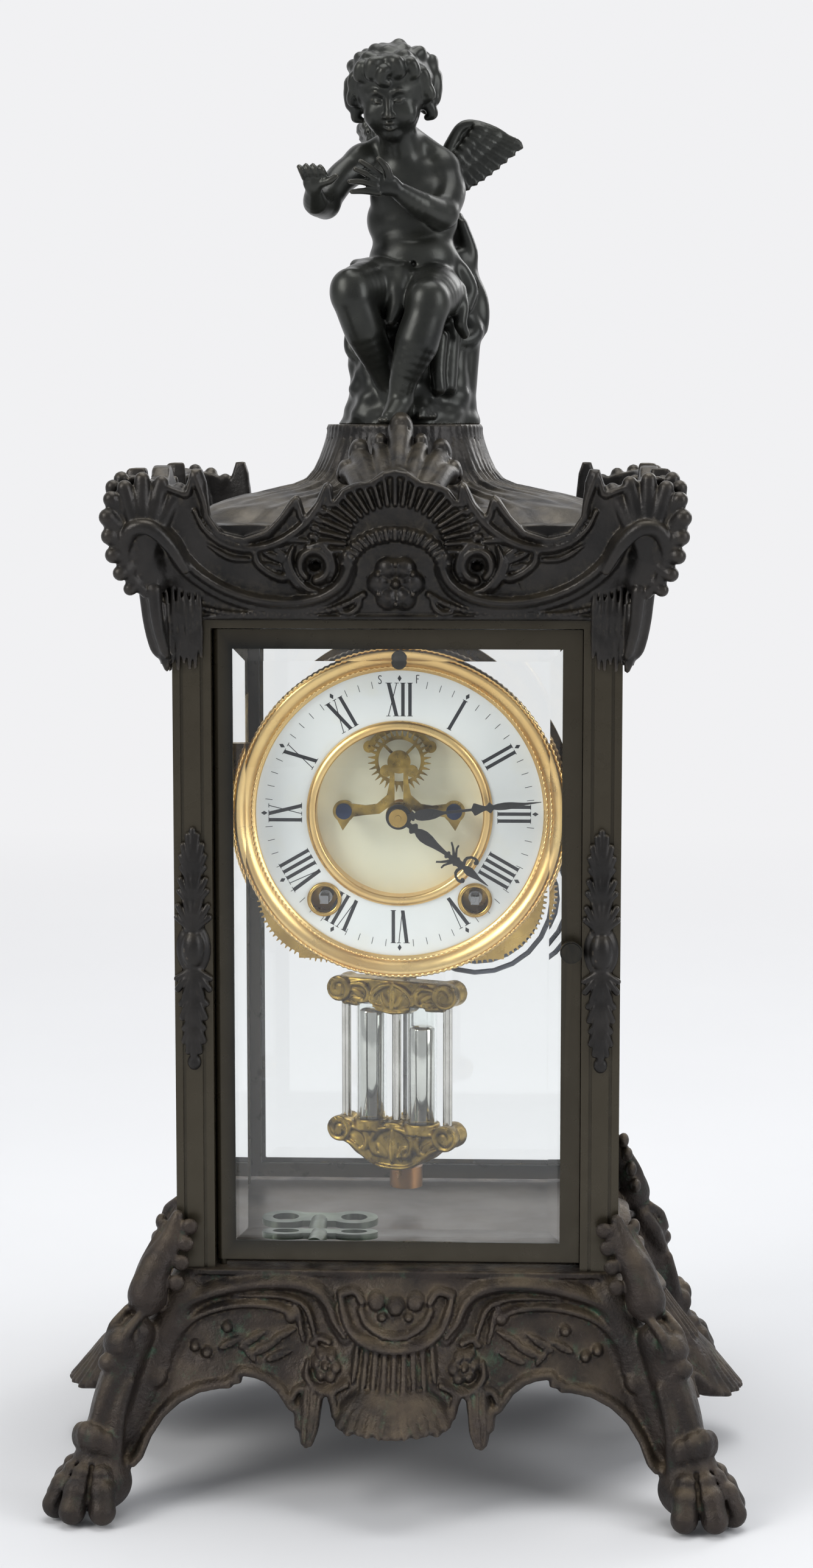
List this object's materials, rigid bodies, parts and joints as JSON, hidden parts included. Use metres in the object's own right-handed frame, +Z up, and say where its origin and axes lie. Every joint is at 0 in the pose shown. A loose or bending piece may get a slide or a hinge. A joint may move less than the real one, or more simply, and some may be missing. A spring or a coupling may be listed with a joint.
{
  "type": "table clock",
  "caption": "Four-glass table clock with bevelled-glass doors, open escapement dial, striking movement with coil gong, vial pendulum, scrolled cast base and roof, and a seated winged child",
  "frame": {"origin": "centre of the base on the surface that the four feet stand on", "axes": "+Z up, the dial and the front door face -Y, +X to the right as seen from the front"},
  "size_m": [0.2612, 0.2316, 0.5302],
  "materials": {
    "patina_base": "dusty dark brown patina over cast bronze, with traces of verdigris",
    "patina_dark": "near-black satin patina over cast bronze",
    "patina_green": "dark greenish satin patina over brass",
    "figure": "dark bronze patina, rubbed on the high places",
    "floor": "brownish grey satin",
    "steel": "grey turned steel",
    "blued": "heat-blued, polished",
    "glass": "clear plate glass with bevelled edges",
    "gilt": "polished gold-coloured brass",
    "brass": "satin brass, lightly aged",
    "old_brass": "antique brass with dark recesses",
    "porcelain": null,
    "cream": "cream vitreous enamel",
    "hands": "blued to near black",
    "spring": "blued spring steel",
    "nickel": "nickel-plated, bright",
    "vial": "clear glass tube",
    "mercury": "bright liquid-metal silver",
    "copper": "coppery brown",
    "key": "brass with greenish patina"
  },
  "bodies": {
    "case": {"base_casting": "patina_base", "floor_plate": "floor", "case_pillars": "patina_green", "pillar_mounts": "patina_dark", "top_frame": "patina_green", "roof_casting": "patina_dark", "screws_and_nuts": "steel", "figure_cherub": "figure", "figure_wings": "figure", "hinge_pins": "steel", "side_glasses": "glass", "movement_mount": "old_brass", "dial_pan": "brass", "dial_ring": "porcelain", "dial_centre": "cream", "bezel": "gilt", "inner_bezel": "gilt", "winding_eyelets": "gilt", "front_plate": "brass", "back_plate": "brass", "plate_pillars": "brass", "escapement_bridge": "brass", "bridge_screws": "blued", "gong_block": "old_brass", "gong_coil": "spring", "suspension_block": "brass"},
    "front_door": {"front_door_frame": "patina_green", "front_door_glass": "glass"},
    "front_knob": {"front_door_knob": "patina_dark"},
    "rear_door": {"rear_door_frame": "patina_green", "rear_door_glass": "glass"},
    "rear_knob": {"rear_door_knob": "patina_dark"},
    "minute": {"minute_hand": "hands", "cannon_pinion": "steel"},
    "hour": {"hour_hand": "hands", "hour_wheel": "brass"},
    "minute_wheel_set": {"minute_wheel": "brass"},
    "escape": {"escape_wheel": "brass"},
    "third": {"third_wheel": "brass"},
    "centre": {"centre_wheel": "brass", "hand_nut": "gilt"},
    "second": {"second_wheel": "brass"},
    "time_drum": {"time_barrel": "brass", "time_mainspring": "spring"},
    "time_winding": {"time_winding_arbor": "steel"},
    "strike_winding": {"strike_winding_arbor": "steel"},
    "fly_set": {"fly": "brass"},
    "strike_set": {"strike_wheel": "brass"},
    "strike_drum": {"strike_barrel": "brass", "strike_mainspring": "spring"},
    "hammer_arm": {"hammer": "old_brass"},
    "pendulum": {"pendulum_rod": "steel", "pendulum_frames": "old_brass", "pendulum_columns": "nickel", "mercury_vials": "vial", "mercury": "mercury"},
    "anchor": {"pallet_anchor": "brass"},
    "nut": {"rating_nut": "copper"},
    "regulator": {"regulator_arbor": "steel"},
    "key": {"winding_key": "key"}
  },
  "joints": [
    {"name": "front_door_hinge", "type": "hinge", "parent": "case", "child": "front_door", "pos_m": [-0.0637, -0.0631, 0.201], "axis": [0, 0, -1], "range_deg": [0, 88]},
    {"name": "front_latch", "type": "hinge", "parent": "front_door", "child": "front_knob", "pos_m": [0.0624, -0.066, 0.2016], "axis": [0, 1, 0], "range_deg": [0, 90]},
    {"name": "rear_door_hinge", "type": "hinge", "parent": "case", "child": "rear_door", "pos_m": [0.0637, 0.0631, 0.201], "axis": [0, 0, -1], "range_deg": [0, 88]},
    {"name": "rear_latch", "type": "hinge", "parent": "rear_door", "child": "rear_knob", "pos_m": [-0.0624, 0.066, 0.2016], "axis": [0, -1, 0], "range_deg": [0, 90]},
    {"name": "minute_axis", "type": "hinge", "parent": "case", "child": "minute", "pos_m": [0, -0.057, 0.248], "axis": [0, 1, 0], "continuous": true},
    {"name": "hour_axis", "type": "hinge", "parent": "case", "child": "hour", "pos_m": [0, -0.055, 0.248], "axis": [0, 1, 0], "continuous": true},
    {"name": "minute_wheel_axis", "type": "hinge", "parent": "case", "child": "minute_wheel_set", "pos_m": [-0.00902, -0.032, 0.24472], "axis": [0, 1, 0], "continuous": true},
    {"name": "escape_axis", "type": "hinge", "parent": "case", "child": "escape", "pos_m": [0, -0.045, 0.2675], "axis": [0, 1, 0], "continuous": true},
    {"name": "third_axis", "type": "hinge", "parent": "case", "child": "third", "pos_m": [-0.01213, -0.011, 0.25942], "axis": [0, 1, 0], "continuous": true},
    {"name": "centre_axis", "type": "hinge", "parent": "case", "child": "centre", "pos_m": [0, -0.018, 0.248], "axis": [0, 1, 0], "continuous": true},
    {"name": "second_axis", "type": "hinge", "parent": "case", "child": "second", "pos_m": [0.0161, -0.005, 0.24253], "axis": [0, 1, 0], "continuous": true},
    {"name": "time_barrel_axis", "type": "hinge", "parent": "case", "child": "time_drum", "pos_m": [0.0275, -0.02, 0.2163], "axis": [0, 1, 0], "continuous": true},
    {"name": "time_winding_axis", "type": "hinge", "parent": "case", "child": "time_winding", "pos_m": [0.0275, -0.04, 0.2163], "axis": [0, 1, 0], "continuous": true},
    {"name": "strike_winding_axis", "type": "hinge", "parent": "case", "child": "strike_winding", "pos_m": [-0.0275, -0.04, 0.2163], "axis": [0, 1, 0], "continuous": true},
    {"name": "fly_axis", "type": "hinge", "parent": "case", "child": "fly_set", "pos_m": [-0.03207, -0.015, 0.24834], "axis": [0, 1, 0], "continuous": true},
    {"name": "strike_wheel_axis", "type": "hinge", "parent": "case", "child": "strike_set", "pos_m": [-0.0161, -0.005, 0.24253], "axis": [0, 1, 0], "continuous": true},
    {"name": "strike_barrel_axis", "type": "hinge", "parent": "case", "child": "strike_drum", "pos_m": [-0.0275, -0.02, 0.2163], "axis": [0, 1, 0], "continuous": true},
    {"name": "hammer_axis", "type": "hinge", "parent": "case", "child": "hammer_arm", "pos_m": [-0.033, 0.036, 0.26], "axis": [0, -1, 0], "range_deg": [0, 14]},
    {"name": "pendulum_axis", "type": "hinge", "parent": "case", "child": "pendulum", "pos_m": [0, 0.014, 0.299], "axis": [0, 1, 0], "range_deg": [-3, 3]},
    {"name": "anchor_axis", "type": "hinge", "parent": "case", "child": "anchor", "pos_m": [0, 0, 0.299], "axis": [0, 1, 0], "range_deg": [-3, 3]},
    {"name": "rating_nut_axis", "type": "hinge", "parent": "pendulum", "child": "nut", "pos_m": [0, 0.014, 0.0988], "axis": [0, 0, 1], "continuous": true},
    {"name": "regulator_axis", "type": "hinge", "parent": "case", "child": "regulator", "pos_m": [0, -0.04, 0.3034], "axis": [0, 1, 0], "continuous": true},
    {"name": "key_lift", "type": "slide", "parent": "case", "child": "key", "axis": [0, 0, 1], "range_m": [0, 0.08]}
  ],
  "couplings": [
    {"joint": "hour_axis", "follows": "minute_axis", "ratio": 0.083333},
    {"joint": "minute_wheel_axis", "follows": "minute_axis", "ratio": -0.33333},
    {"joint": "third_axis", "follows": "escape_axis", "ratio": -0.08},
    {"joint": "centre_axis", "follows": "escape_axis", "ratio": 0.0071111},
    {"joint": "second_axis", "follows": "escape_axis", "ratio": -0.00094815},
    {"joint": "time_barrel_axis", "follows": "escape_axis", "ratio": 0.000094815},
    {"joint": "fly_axis", "follows": "strike_wheel_axis", "ratio": -7.5},
    {"joint": "strike_barrel_axis", "follows": "strike_wheel_axis", "ratio": -0.1},
    {"joint": "anchor_axis", "follows": "pendulum_axis", "ratio": 1}
  ]
}
